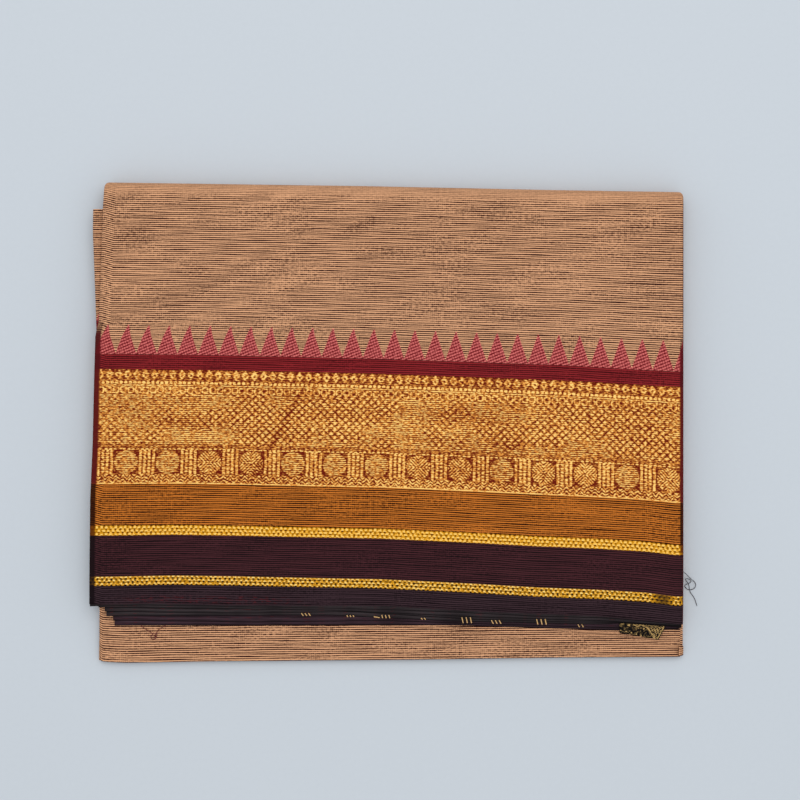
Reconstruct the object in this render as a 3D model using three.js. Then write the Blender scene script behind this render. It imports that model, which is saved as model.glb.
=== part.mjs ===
// A cotton saree folded flat, lying on its back with the woven border towards the viewer.
// Millimetres, +Z up. The origin is the middle of the rectangle that the folded cloth covers, on the surface
// it lies on. +X runs along the border to the right fold, +Y towards the top fold.
//
// The cloth is 5.9 m long and 1.18 m wide. It is folded selvedge to selvedge, then four times across its
// length, then once more at the top fold. That gives a front half and a back half of 32 plies each, which meet
// at a middle plane. The front half ends in the dark selvedges, the back half in the rounded middle folds.

import * as THREE from "three";

const { lerp, smoothstep, degToRad } = THREE.MathUtils;

// Heights through the pack, measured as depths from the middle plane
const HALF = 8;
const GAP = 0.3;
const OUTER_WALL = 1.2;
const PLY_WALL = 1;
const CORE_DEPTH = HALF - OUTER_WALL - GAP;
const SLIT = GAP / 2;

// Folds of the outer stretch
const TOP_FOLD_REACH = 7;
const LEFT_FOLD = { reach: 2.5, from: 4.15, to: HALF };
const RIGHT_FOLD = { reach: 3, from: GAP, to: HALF };
const FRONT_RIGHT_X = 184.5;
const BACK_RIGHT_X = 186;

// The front half thins out towards its selvedges, and the back half towards its middle folds
const FRONT_DROP = { height: 1.2, from: 88, to: 130 };
const BACK_DROP = { height: 3.6, from: 116, to: 150 };
const FIXED_INNER = PLY_WALL + 2 * GAP;
const FIXED_OUTER = 3.9;

// Share of a fold's inner radius beyond which its lips are in the way of the hidden plies
const LIP_SHARE = 0.85;

// Outline of the pack, as seen from above
const FRONT_LEFT_EDGE = [
  { y: -131, x: -184.5 },
  { y: -113, x: -184.5 },
  { y: -73, x: -184.1 },
  { y: -48, x: -183.8 },
  { y: -14, x: -182.3 },
  { y: 26, x: -181.4 },
  { y: 54, x: -180.6 },
  { y: 62, x: -178.6 },
  { y: 92, x: -177.3 },
  { y: 132, x: -176 },
  { y: 148, x: -174.9 },
];
const BACK_LEFT_EDGE = [
  { y: -150, x: -179.9 },
  { y: -96, x: -178.6 },
  { y: 148, x: -174.5 },
];
const TOP_EDGE = [
  { x: -184.5, y: 150.2 },
  { x: -112, y: 149.2 },
  { x: -17, y: 147.9 },
  { x: 102, y: 145.5 },
  { x: 184.5, y: 144.2 },
];
const BOTTOM_EDGE = [
  { x: -184.5, y: -150 },
  { x: -168, y: -150.6 },
  { x: -115, y: -149.8 },
  { x: 18, y: -149.1 },
  { x: 102, y: -147.9 },
  { x: 186, y: -147.3 },
];

// Selvedges that show at the front, outermost first
const FRONT_SELVEDGE = [
  { x: -184.5, y: -113.3 },
  { x: -149, y: -112.7 },
  { x: -97, y: -113.8 },
  { x: 2, y: -114.2 },
  { x: 53, y: -117.4 },
  { x: 136, y: -120.7 },
  { x: 184.5, y: -125.6 },
];
const INNER_SELVEDGES = [
  {
    name: "first_inner_selvedge",
    depth: 5.5,
    leftX: -181.4,
    rightX: 181.2,
    edge: [
      { x: -184.5, y: -114.5 },
      { x: -146, y: -115.3 },
      { x: -35, y: -116.9 },
      { x: 59, y: -121.3 },
      { x: 136, y: -123.7 },
      { x: 184.5, y: -126.8 },
    ],
  },
  {
    name: "second_inner_selvedge",
    depth: 4.2,
    leftX: -173.6,
    rightX: 182.5,
    edge: [
      { x: -173.6, y: -120.5 },
      { x: -35, y: -119.9 },
      { x: 41, y: -123.7 },
      { x: 132, y: -125.9 },
      { x: 184.5, y: -128 },
    ],
  },
  {
    name: "third_inner_selvedge",
    depth: GAP,
    leftX: -168.6,
    rightX: 181,
    edge: [
      { x: -168.6, y: -126.4 },
      { x: 0, y: -126 },
      { x: 46, y: -126.3 },
      { x: 143, y: -129.4 },
      { x: 184.5, y: -128.9 },
    ],
  },
];
const SELVEDGE_TUCK_Y = -95;

// Stretch below the selvedges, which turns over a middle fold at the bottom edge
const LOWER_STRETCH_TOP_Y = -95;
const LOWER_STRETCH_RIGHT_X = BACK_RIGHT_X - RIGHT_FOLD.reach - GAP;
const BACK_FOLD_RECESS = 6;

// Fold of an inner group of plies that stands out at the top of the left side
const INNER_FOLD = { bottomY: -94, topY: 132.4, reach: 2.2, from: GAP, to: LEFT_FOLD.from - GAP, tuck: 8.5 };
const INNER_FOLD_LEFT_EDGE = [
  { y: -121, x: -173.6 },
  { y: 132.4, x: -181.4 },
];

// Corner of the gold end piece, which hangs out below the second inner selvedge
const END_CORNER = {
  depth: FIXED_INNER,
  tipDepth: 0.8,
  rows: [
    { leftX: 144.5, leftY: -124.8, rightX: 173.4, rightY: -125.4 },
    { leftX: 144.7, leftY: -128.2, rightX: 173.2, rightY: -129 },
    { leftX: 145, leftY: -131.2, rightX: 169.3, rightY: -134.8 },
  ],
};

// Soft swells of the front, where the plies lie less flat
const SWELLS = [
  { x: -25, y: -95, reachX: 70, reachY: 34, height: 0.35 },
  { x: -118, y: 40, reachX: 60, reachY: 60, height: 0.3 },
  { x: 96, y: 70, reachX: 80, reachY: 50, height: 0.25 },
  { x: 128, y: -60, reachX: 40, reachY: 60, height: -0.3 },
];

// Edges of the hidden plies, from the middle plane outwards: depth in each half, how far the plies stand back
// from the left edge of the back half, and from the ends of the two halves
const HIDDEN_PLIES = [
  { front: SLIT, back: SLIT, backLeft: 2.2, frontEnd: 0.4, backEnd: 0.2, pocket: "ply" },
  { front: 1.58, back: 0.7, backLeft: 0.9, frontEnd: 0, backEnd: 0, pocket: "ply" },
  { front: 1.62, back: 1.2, backLeft: 2.6, frontEnd: 0.6, backEnd: 1.1, pocket: "tongue" },
  { front: 2.5, back: 1.9, backLeft: 1.1, frontEnd: 0.1, backEnd: 0.4, pocket: "tongue" },
  { front: 2.54, back: 2.6, backLeft: 2.9, frontEnd: 0.9, backEnd: 1.6, pocket: "ply" },
  { front: 3.3, back: 3.3, backLeft: 1.4, frontEnd: 0.3, backEnd: 0.9, pocket: "ply" },
  { front: 4.1, back: 3.9, backLeft: 3.4, frontEnd: 1, backEnd: 2.2, pocket: "ply" },
  { front: 4.2, back: 4.5, backLeft: 3.4, frontEnd: 0.4, backEnd: 1.6, pocket: "none" },
  { front: 5.3, back: 5.5, backLeft: 3.4, frontEnd: 0.8, backEnd: 3, pocket: "none" },
  { front: CORE_DEPTH, back: CORE_DEPTH, backLeft: 3.4, frontEnd: 0.5, backEnd: 2.4, pocket: "none" },
];

// Faces across the flat, round a fold and along each stretch
const FLAT_CELLS = 16;
const LEFT_FOLD_CELLS = 5;
const RIGHT_FOLD_CELLS = 7;
const FRONT_CELLS = 12;
const BACK_CELLS = 5;
const SELVEDGE_CELLS = 4;
const CORE_CELLS = 12;
const TURN_ANGLES = [90, 66, 42, 16, -16, -42, -66, -90].map(degToRad);
const NEAR_SELVEDGE_SHARES = [0, 0.025, 0.055];
const DROP_ROWS_Y = [-105, -115, -123, -131, -137];

const COLOURS = {
  body: 0xa5795c,
  selvedge: 0x312327,
  lower: 0xa67c5e,
  gold: 0x9a7434,
  hidden: 0x8d6a50,
};

const shares = (cells) => Array.from({ length: cells + 1 }, (_, i) => i / cells);

// Value of one column of a table at a value of another, in straight lines from row to row.
function readTable(table, key, column, value) {
  const after = table.findIndex((row) => row[key] > value);
  if (after === 0) return table[0][column];
  if (after < 0) return table[table.length - 1][column];
  const [low, high] = [table[after - 1], table[after]];
  return lerp(low[column], high[column], (value - low[key]) / (high[key] - low[key]));
}

const yOnLine = (table, x) => readTable(table, "x", "y", x);
const xOnEdge = (table, y) => readTable(table, "y", "x", y);

// Height above the flat front that the swells give.
function swellHeight(x, y) {
  return SWELLS.reduce((sum, swell) => {
    const away = Math.hypot((x - swell.x) / swell.reachX, (y - swell.y) / swell.reachY);
    return sum + swell.height * (1 - smoothstep(away, 0, 1));
  }, 0);
}

const middlePlane = (y) => HALF - BACK_DROP.height * smoothstep(-y, BACK_DROP.from, BACK_DROP.to);

const frontTop = (x, y) =>
  middlePlane(y) + HALF - FRONT_DROP.height * smoothstep(-y, FRONT_DROP.from, FRONT_DROP.to) + swellHeight(x, y);

// Height of a depth in the front or back half. The walls keep their thickness and the plies between give way.
function heightAt(half, depth, x, y) {
  const middle = middlePlane(y);
  const inner = half === "front" ? middle + depth : middle - depth;
  const outer = half === "front" ? frontTop(x, y) - (HALF - depth) : HALF - depth;
  const keepOuter = half === "front" ? FIXED_OUTER : CORE_DEPTH;
  return lerp(inner, outer, THREE.MathUtils.clamp((depth - FIXED_INNER) / (keepOuter - FIXED_INNER), 0, 1));
}

// A row is a line across the pack: on the front half or the back half at a y, or round the top fold at an angle.
const frontRow = (yAt, options = {}) => ({ half: "front", yAt, ...options });
const backRow = (yAt, options = {}) => ({ half: "back", yAt, ...options });
const turnRow = (angle) => ({ half: "turn", angle });

const topFoldStart = (x) => yOnLine(TOP_EDGE, x) - TOP_FOLD_REACH;

// Place of a point: its row, its share of the way across, what is added to its x, and its depth.
function place(row, { across, inset = 0, depth }) {
  const x0 = lerp(-FRONT_RIGHT_X, FRONT_RIGHT_X, across);
  const turning = row.half === "turn";
  const bend = turning ? (TOP_FOLD_REACH * depth * Math.cos(row.angle)) / HALF : 0;
  const y = turning ? topFoldStart(x0) + bend : row.yAt(x0);
  const backShare = turning ? (1 - Math.sin(row.angle)) / 2 : Number(row.half === "back");
  const left = row.leftAt
    ? row.leftAt(y)
    : lerp(xOnEdge(FRONT_LEFT_EDGE, y - bend), xOnEdge(BACK_LEFT_EDGE, y - bend), backShare);
  const right = row.rightX ?? lerp(FRONT_RIGHT_X, BACK_RIGHT_X, backShare);
  const x = lerp(left, right, across) + inset;
  const z = turning ? HALF + depth * Math.sin(row.angle) : heightAt(row.half, depth, x, y);
  return [x, y, z];
}

// Closed solid from a block of points: only the faces on its six sides are made.
function blockSolid([across, along, deep], pointAt) {
  const known = new Map();
  const positions = [];
  const faces = [];
  const corner = (i, j, k) => {
    const key = `${i} ${j} ${k}`;
    if (!known.has(key)) {
      known.set(key, positions.length / 3);
      positions.push(...pointAt(i, j, k));
    }
    return known.get(key);
  };
  const side = (countA, countB, cornerOf, flipped) => {
    for (let a = 0; a < countA; a += 1) {
      for (let b = 0; b < countB; b += 1) {
        const quad = [cornerOf(a, b), cornerOf(a + 1, b), cornerOf(a + 1, b + 1), cornerOf(a, b + 1)];
        if (flipped) quad.reverse();
        faces.push(quad[0], quad[1], quad[2], quad[0], quad[2], quad[3]);
      }
    }
  };
  side(along, deep, (a, b) => corner(0, a, b), true);
  side(along, deep, (a, b) => corner(across, a, b), false);
  side(deep, across, (a, b) => corner(b, 0, a), true);
  side(deep, across, (a, b) => corner(b, along, a), false);
  side(across, along, (a, b) => corner(a, b, 0), true);
  side(across, along, (a, b) => corner(a, b, deep), false);
  const geometry = new THREE.BufferGeometry();
  geometry.setAttribute("position", new THREE.Float32BufferAttribute(positions, 3));
  geometry.setIndex(faces);
  geometry.computeVertexNormals();
  return geometry;
}

function namedMesh(name, geometry, color) {
  const material = new THREE.MeshStandardMaterial({ color, roughness: 0.9, metalness: 0 });
  const mesh = new THREE.Mesh(geometry, material);
  mesh.name = name;
  return mesh;
}

// Points of a half turn round a fold, from its inner lip to its outer one, at an offset inside the cloth.
function foldSection(fold, cells, offset) {
  const middle = (fold.from + fold.to) / 2;
  const radius = (fold.to - fold.from) / 2 - offset;
  return shares(cells).map((share) => {
    const angle = degToRad(lerp(-90, 90, share));
    return { out: (fold.reach - offset) * Math.cos(angle), depth: middle + radius * Math.sin(angle) };
  });
}

// Section of the outer stretch: left fold, flat, right fold.
function outerSection(offset) {
  const left = foldSection(LEFT_FOLD, LEFT_FOLD_CELLS, offset).map(({ out, depth }) => ({
    across: 0,
    inset: LEFT_FOLD.reach - out,
    depth,
  }));
  const right = foldSection(RIGHT_FOLD, RIGHT_FOLD_CELLS, offset).map(({ out, depth }) => ({
    across: 1,
    inset: out - RIGHT_FOLD.reach,
    depth,
  }));
  const flat = shares(FLAT_CELLS).slice(1, -1).map((share) => ({
    across: share,
    inset: lerp(LEFT_FOLD.reach, -RIGHT_FOLD.reach, share),
    depth: HALF - offset,
  }));
  return [...left, ...flat, ...right.reverse()];
}

// Section of the inner fold: a ply below, the half turn and a ply above.
function innerFoldSection(offset) {
  const turn = foldSection(INNER_FOLD, LEFT_FOLD_CELLS, offset).map(({ out, depth }) => ({
    across: 0,
    inset: INNER_FOLD.reach - out,
    depth,
  }));
  const lip = (depth) => ({ across: 0, inset: INNER_FOLD.tuck, depth });
  return [lip(INNER_FOLD.from + offset), ...turn, lip(INNER_FOLD.to - offset)];
}

// Wall between an inner and an outer section, swept through rows. A row may be pinched to a rounded end.
function sweptWall(sections, rows) {
  const pointAt = (i, j, k) => {
    const row = rows[j];
    const [own, other] = [sections[k][i], sections[1 - k][i]];
    const pinch = (row.pinch ?? 0) / 2;
    return place(row, {
      across: own.across,
      inset: lerp(own.inset, other.inset, pinch),
      depth: lerp(own.depth, other.depth, pinch),
    });
  };
  return blockSolid([sections[0].length - 1, rows.length - 1, 1], pointAt);
}

const flatSection = (depth, cells) => shares(cells).map((across) => ({ across, inset: 0, depth }));

// Rows of the front half, from the front selvedge to the top fold.
const frontRows = (options) =>
  [...NEAR_SELVEDGE_SHARES, ...shares(FRONT_CELLS).slice(1)].map((share) =>
    frontRow((x) => lerp(yOnLine(FRONT_SELVEDGE, x), topFoldStart(x), share), options),
  );

// Rows of the back half from the top fold to where it starts to thin out, and from there on.
const backRows = () =>
  shares(BACK_CELLS).slice(1).map((share) => backRow((x) => lerp(topFoldStart(x), LOWER_STRETCH_TOP_Y, share)));
const dropRows = (options) => DROP_ROWS_Y.map((y) => backRow(() => y, options));

// The outermost cloth: up the front, over the top fold and down the underside to its middle fold.
function outerStretch() {
  const backEnd = (x) => yOnLine(BOTTOM_EDGE, x) + BACK_FOLD_RECESS;
  const back = [...backRows(), ...dropRows(), backRow(backEnd)];
  const nose = backRow((x) => backEnd(x) - OUTER_WALL / 2, { pinch: 0.7 });
  const rows = [...frontRows().slice(0, -1), ...TURN_ANGLES.map(turnRow), ...back, nose];
  const geometry = sweptWall([outerSection(OUTER_WALL), outerSection(0)], rows);
  return namedMesh("outer_stretch", geometry, COLOURS.body);
}

// The cloth that shows below the selvedges, with the middle fold at the bottom edge.
function lowerStretch() {
  const end = (x) => yOnLine(BOTTOM_EDGE, x) + OUTER_WALL / 2;
  const options = { rightX: LOWER_STRETCH_RIGHT_X };
  const nose = backRow((x) => yOnLine(BOTTOM_EDGE, x), { ...options, pinch: 0.7 });
  const rows = [backRow(() => LOWER_STRETCH_TOP_Y, options), ...dropRows(options), backRow(end, options), nose];
  const sections = [flatSection(SLIT, FLAT_CELLS), flatSection(SLIT + OUTER_WALL, FLAT_CELLS)];
  return namedMesh("lower_stretch", sweptWall(sections, rows), COLOURS.lower);
}

function innerSelvedge({ name, depth, leftX, rightX, edge }) {
  const rows = shares(SELVEDGE_CELLS).map((share) =>
    frontRow((x) => lerp(yOnLine(edge, x), SELVEDGE_TUCK_Y, share), { leftAt: () => leftX, rightX }),
  );
  const sections = [flatSection(depth, FLAT_CELLS), flatSection(depth + PLY_WALL, FLAT_CELLS)];
  return namedMesh(name, sweptWall(sections, rows), COLOURS.selvedge);
}

function leftInnerFold() {
  const leftAt = (y) => xOnEdge(INNER_FOLD_LEFT_EDGE, y);
  const rows = shares(8).map((share) =>
    frontRow(() => lerp(INNER_FOLD.bottomY, INNER_FOLD.topY, share), { leftAt }),
  );
  const geometry = sweptWall([innerFoldSection(PLY_WALL), innerFoldSection(0)], rows);
  return namedMesh("left_inner_fold", geometry, COLOURS.body);
}

function endCorner() {
  const { rows, depth, tipDepth } = END_CORNER;
  const last = rows.length - 1;
  const pointAt = (i, j, k) => {
    const row = rows[last - j];
    const [x, y] = [lerp(row.leftX, row.rightX, i / 4), lerp(row.leftY, row.rightY, i / 4)];
    return [x, y, middlePlane(y) + (j === 0 ? tipDepth : depth) + k * PLY_WALL];
  };
  return namedMesh("end_corner", blockSolid([4, last, 1], pointAt), COLOURS.gold);
}

// All plies that don't show, as one solid whose edges are layered.
function hiddenLayers() {
  const clearOfFold = LEFT_FOLD.reach + 3 * GAP;
  const frontEnd = (x) => {
    const underSecond = yOnLine(INNER_SELVEDGES[1].edge, x) + 2.5;
    const underFront = yOnLine(FRONT_SELVEDGE, x) + 1.5;
    return lerp(underFront, underSecond, smoothstep(x, -FRONT_RIGHT_X, -FRONT_RIGHT_X + 30));
  };
  const backEnd = (x) => yOnLine(BOTTOM_EDGE, x) + 2;
  const nearFoldTop = INNER_FOLD.topY + GAP;
  const nearFoldBottom = INNER_FOLD.bottomY - GAP;
  const rows = [
    frontRow(frontEnd, { end: "front", thin: true }),
    ...shares(SELVEDGE_CELLS)
      .slice(1)
      .map((share) => frontRow((x) => lerp(frontEnd(x) + 1, nearFoldBottom - GAP, share), { thin: true })),
    frontRow(() => nearFoldBottom, { pocket: true }),
    ...frontRows({ pocket: true }).slice(NEAR_SELVEDGE_SHARES.length + 1, -1),
    frontRow(() => nearFoldTop, { pocket: true }),
    frontRow(() => nearFoldTop + GAP),
    ...TURN_ANGLES.map(turnRow),
    ...backRows().slice(0, -1),
    backRow(() => LOWER_STRETCH_TOP_Y + 2 * GAP),
    backRow(() => LOWER_STRETCH_TOP_Y + GAP, { thin: true }),
    ...dropRows({ thin: true }),
    backRow(backEnd, { end: "back", thin: true }),
  ];

  // In the thin rows the hidden plies share the space between the stretches that show.
  const frontSpace = [FIXED_INNER, INNER_SELVEDGES[1].depth - GAP];
  const backSpace = [SLIT + OUTER_WALL + GAP, CORE_DEPTH];
  const depthIn = (row, level, half) => {
    if (!row.thin) return level[half];
    const [low, high] = half === "front" ? frontSpace : backSpace;
    return lerp(low, high, (level[half] - SLIT) / (CORE_DEPTH - SLIT));
  };
  const leftInset = (row, level, depth, y) => {
    if (row.half === "back") return depth > INNER_FOLD.to - GAP ? clearOfFold : level.backLeft;
    if (!row.pocket || level.pocket === "none") return clearOfFold;
    const edge = xOnEdge(INNER_FOLD_LEFT_EDGE, y) - xOnEdge(FRONT_LEFT_EDGE, y);
    return edge + (level.pocket === "tongue" ? PLY_WALL + 2 * GAP : INNER_FOLD.tuck + GAP);
  };
  const rightInset = (depth) => {
    const reach = RIGHT_FOLD.reach - OUTER_WALL;
    const radius = (RIGHT_FOLD.to - RIGHT_FOLD.from) / 2 - OUTER_WALL;
    const off = (depth - (RIGHT_FOLD.from + RIGHT_FOLD.to) / 2) / (radius - GAP);
    if (Math.abs(off) >= LIP_SHARE) return RIGHT_FOLD.reach + GAP;
    return RIGHT_FOLD.reach + GAP - reach * Math.sqrt(1 - off * off);
  };
  const pointAt = (i, j, k) => {
    const row = rows[j];
    const level = HIDDEN_PLIES[k];
    const backShare = row.half === "turn" ? (1 - Math.sin(row.angle)) / 2 : Number(row.half === "back");
    const depth = lerp(depthIn(row, level, "front"), depthIn(row, level, "back"), backShare);
    const across = i / CORE_CELLS;
    const y = row.half === "turn" ? 0 : row.yAt(-FRONT_RIGHT_X);
    const left =
      row.half === "turn" ? lerp(clearOfFold, level.backLeft, backShare) : leftInset(row, level, depth, y);
    const inset = lerp(left, -rightInset(depth), across);
    const point = place(row, { across, inset, depth });
    if (row.end) point[1] += row.end === "front" ? level.frontEnd : level.backEnd;
    return point;
  };
  const geometry = blockSolid([CORE_CELLS, rows.length - 1, HIDDEN_PLIES.length - 1], pointAt);
  return namedMesh("hidden_layers", geometry, COLOURS.hidden);
}

const saree = new THREE.Group();
saree.add(
  outerStretch(),
  lowerStretch(),
  ...INNER_SELVEDGES.map(innerSelvedge),
  leftInnerFold(),
  endCorner(),
  hiddenLayers(),
);

// The origin is under the middle of the pack.
const middle = new THREE.Box3().setFromObject(saree).getCenter(new THREE.Vector3());
saree.position.set(-middle.x, -middle.y, 0);

export default saree;
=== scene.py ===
"""A cotton saree folded flat into a pack, with its woven gold border towards the viewer.

The pack is laid out as an add-on: its sizes and colours are properties, each group of pieces is an operator,
and a panel lists them. Tables of places are in millimetres, and objects are in metres, +Z up.
"""

import math
import random

import bmesh
import bpy
from bpy.props import FloatProperty, FloatVectorProperty, PointerProperty
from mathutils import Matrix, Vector
from mathutils.bvhtree import BVHTree


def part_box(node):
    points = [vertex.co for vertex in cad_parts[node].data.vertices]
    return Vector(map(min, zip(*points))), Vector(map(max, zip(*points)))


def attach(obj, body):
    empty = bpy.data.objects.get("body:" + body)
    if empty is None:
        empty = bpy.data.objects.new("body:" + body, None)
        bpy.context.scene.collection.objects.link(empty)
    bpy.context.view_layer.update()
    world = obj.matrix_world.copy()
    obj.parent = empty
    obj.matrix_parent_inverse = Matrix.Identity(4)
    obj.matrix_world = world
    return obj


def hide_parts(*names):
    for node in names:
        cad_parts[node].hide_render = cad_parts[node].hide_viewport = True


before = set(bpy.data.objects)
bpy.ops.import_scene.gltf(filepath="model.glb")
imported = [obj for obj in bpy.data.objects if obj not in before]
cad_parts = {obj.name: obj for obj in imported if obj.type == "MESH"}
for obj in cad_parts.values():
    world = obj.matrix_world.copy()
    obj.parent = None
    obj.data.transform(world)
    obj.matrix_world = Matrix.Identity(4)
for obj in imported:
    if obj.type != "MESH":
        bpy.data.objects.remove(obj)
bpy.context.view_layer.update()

bl_info = {
    "name": "Folded Saree",
    "version": (1, 0, 0),
    "blender": (4, 5, 0),
    "location": "View3D > Sidebar > Saree",
    "description": "Makes a folded cotton saree with a woven border, on a plain stage",
    "category": "Add Mesh",
}

BODY = "root"
MM = 0.001
UV_NAME = "cloth"
BORDER_MATERIAL = "striped_cotton_with_border"
COTTON_ROUGHNESS = 0.85
COTTON_SPECULAR = 0.06
METAL_SHARE = 0.3

# Heights through the pack, in millimetres from the middle plane between its two halves
HALF = 8.0
GAP = 0.3
CORE_DEPTH = 6.5
FIXED_INNER = 1.6
FIXED_OUTER = 3.9
OUTER_WALL = 1.2
SLIT = 0.15

# Folds of the outer cloth
TOP_FOLD_REACH = 7.0
LEFT_FOLD = {"reach": 2.5, "low": 4.15, "high": HALF}
RIGHT_FOLD = {"reach": 3.0, "low": GAP, "high": HALF}
FRONT_RIGHT_X = 185.0
BACK_RIGHT_X = 186.0
FRONT_DROP = {"height": 1.2, "start": 88.0, "stop": 130.0}
BACK_DROP = {"height": 3.6, "start": 116.0, "stop": 150.0}
BACK_FOLD_RECESS = 1.6

# Outline of the pack, seen from above
FRONT_LEFT_EDGE = [
    (-131, -184.5), (-113, -184.5), (-73, -184.1), (-48, -183.8), (-14, -182.3), (26, -181.4),
    (54, -180.6), (62, -178.6), (92, -177.3), (132, -176.0), (148, -174.9),
]
BACK_LEFT_EDGE = [(-150, -179.9), (-96, -178.6), (148, -174.5)]
TOP_EDGE = [(-184.5, 149.4), (-112, 148.4), (-17, 147.1), (102, 144.7), (184.5, 143.4)]
BOTTOM_EDGE = [
    (-184.5, -150.4), (-168, -151.1), (-115, -150.2), (18, -149.1), (102, -147.9), (186, -147.3),
]

# Lines woven across the front, each at its height above the selvedge on the flat cloth
SELVEDGE_LINE = [
    (-184.5, -113.3), (-149, -112.7), (-97, -113.8), (2, -114.2), (53, -117.4), (136, -120.7),
    (184.5, -125.6),
]
LOWER_GOLD_LINE = [
    (-174.2, -101.7), (-133.9, -100.9), (-96.7, -101.4), (-53.3, -102.3), (-3.7, -103.2),
    (52.1, -105.9), (95.5, -108.4), (132.7, -109.8), (163.7, -111.6), (182.3, -114.1),
]
TRIANGLE_LINE = [
    (-171.1, 42.2), (-115.3, 41.5), (-59.5, 40.3), (-3.7, 39.1), (52.1, 37.2), (107.9, 35.3),
    (163.7, 32.2), (184.1, 31.2),
]

# Bands of the border: height of each above the selvedge, in millimetres
LOWER_GOLD_FROM = 11.5
PLUM_FROM = 17.1
UPPER_GOLD_FROM = 42.5
MUSTARD_FROM = 48.7
ZARI_FROM = 74.5
MAROON_FROM = 145.2
TRIANGLES_FROM = 154.6
TRIANGLES_TO = 172.9
FRONT_LENGTH = 256.0

# Bands from the selvedge up: lower edge, and the names of the colours of its light and dark threads
BANDS = [
    (0.0, "black", "black"), (LOWER_GOLD_FROM, "gold", "black"), (PLUM_FROM, "plum", "plum"),
    (UPPER_GOLD_FROM, "gold", "gold"), (MUSTARD_FROM, "mustard", "mustard"), (ZARI_FROM, "zari", "zari"),
    (MAROON_FROM, "maroon", "maroon"), (TRIANGLES_FROM, "body", "body"),
]

# Pitches of the threads and of the wide band's motifs, and the stretches whose roundels are cross-twilled
WARP_PITCH = 1.3
ZARI_WEFT_PITCH = 1.24
DROP_PITCH = 5.6
BEAD_PITCH = 2.8
OVAL_PITCH = 4.6
LATTICE_PITCH = 4.46
ROUNDEL_PITCH = 25.75
ROUNDEL_RADIUS = 7.3
CHEVRON_PITCH = 4.4
CROSSED_ROUNDELS = [(57.4, 108.9), (186.2, 237.7), (263.4, 314.9), (340.6, 366.0)]

# Soft swells and troughs of the front, where the plies lie less flat: middle, reach each way and height
SWELLS = [
    ((-25, -95), (70, 34), 0.35),
    ((-118, 40), (60, 60), 0.3),
    ((96, 70), (80, 50), 0.25),
    ((128, -60), (40, 60), -0.3),
]

# Main creases, as soft troughs and ridges along lines: ends, half width and height
FRONT_CREASES = [
    ((-50, 28), (-83, -33), 5.0, -0.5),
    ((-171, 88), (-72, 125), 10.0, 0.32),
    ((-118, 74), (-54, 111), 8.0, -0.34),
    ((-128, 60), (-60, 93), 7.0, 0.26),
    ((-50, 81), (21, 77), 5.5, -0.28),
    ((15, 96), (74, 93), 6.0, -0.32),
    ((27, 86), (136, 80), 5.5, 0.24),
    ((86, 81), (123, 66), 6.5, -0.32),
    ((87, 22), (88, -45), 5.5, 0.26),
    ((-150, -56), (-96, -49), 7.0, -0.22),
    ((120, -52), (171, -60), 6.0, 0.22),
]
UNDERSIDE_CREASES = [
    ((-96, 64), (-31, 101), 8.0, 0.34),
    ((-140, -20), (-70, -8), 7.0, 0.26),
    ((22, 30), (58, -41), 6.0, 0.42),
    ((84, 96), (150, 88), 7.5, 0.3),
    ((64, -92), (141, -101), 6.0, 0.24),
]

# Fold of an inner group of plies that stands out at the top of the left side
INNER_FOLD = {"reach": 2.2, "low": GAP, "high": LEFT_FOLD["low"] - GAP, "bottom": -94.0, "top": 132.4}
INNER_FOLD_TUCK = 8.5
INNER_FOLD_UV_FROM = (160.0, -2.1)
INNER_FOLD_LEFT_EDGE = [(-121, -174.6), (82, -181.4), (118, -182.8), (132.4, -182.6)]

# Dark plies that show below the front selvedge, outermost first: height in the front half, ends and edge
SELVEDGE_PLIES = [
    {
        "node": "first_inner_selvedge", "depth": 6.45, "left": -184.1, "right": 183.7,
        "edge": [
            (-184.5, -114.6), (-150, -114.0), (-97, -114.9), (-35, -115.9), (30, -117.8), (90, -120.8),
            (140, -122.2), (184.5, -126.3),
        ],
    },
    {
        "node": "first_inner_selvedge", "depth": 5.9, "left": -178.8, "right": 183.9,
        "edge": [
            (-184.5, -115.3), (-146, -115.7), (-35, -117.2), (59, -121.6), (136, -124.0), (184.5, -127.1),
        ],
    },
    {
        "node": "second_inner_selvedge", "depth": 5.1, "left": -175.0, "right": 184.0,
        "edge": [
            (-174.4, -118.0), (-100, -119.2), (-20, -118.2), (50, -122.9), (110, -124.7), (150, -125.2),
            (184.5, -127.8),
        ],
    },
    {
        "node": "second_inner_selvedge", "depth": 4.6, "left": -174.2, "right": 184.1,
        "edge": [
            (-173.6, -121.0), (-35, -120.4), (41, -124.2), (132, -126.3), (146, -125.5), (172, -127.2),
            (184.5, -128.4),
        ],
    },
    {
        "node": "third_inner_selvedge", "depth": 1.25, "left": -170.3, "right": 183.4,
        "edge": [
            (-169.3, -123.9), (-90, -125.1), (0, -124.3), (60, -126.3), (143, -128.9), (184.5, -129.2),
        ],
    },
    {
        "node": "third_inner_selvedge", "depth": 0.65, "left": -169.6, "right": 182.8,
        "edge": [(-168.6, -127.3), (0, -126.9), (46, -127.2), (143, -130.3), (184.5, -129.8)],
    },
]
SELVEDGE_TUCK_Y = -95.0
LOWER_CLOTH_TOP_Y = -95.0
LOWER_CLOTH_UV_FROM = (0.0, 300.0)
THIRD_SELVEDGE_RIGHT_X = 181.0

# Corner of the gold end piece, which hangs out below the second inner selvedge
CORNER_ROWS = [
    {"left": (145.2, -124.8), "right": (174.4, -125.4), "height": 2.6},
    {"left": (145.4, -128.7), "right": (174.0, -128.6), "height": 2.3},
    {"left": (145.8, -131.9), "right": (170.2, -136.0), "height": 1.3},
]


# Places in the pack


def between_rows(table, value):
    """Second column of a table at a value of its first, in straight lines from row to row."""
    if value <= table[0][0]:
        return table[0][1]
    for (x0, y0), (x1, y1) in zip(table, table[1:]):
        if value <= x1:
            return y0 + (y1 - y0) * (value - x0) / (x1 - x0)
    return table[-1][1]


def blend(low, high, share):
    return low + (high - low) * share


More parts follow.
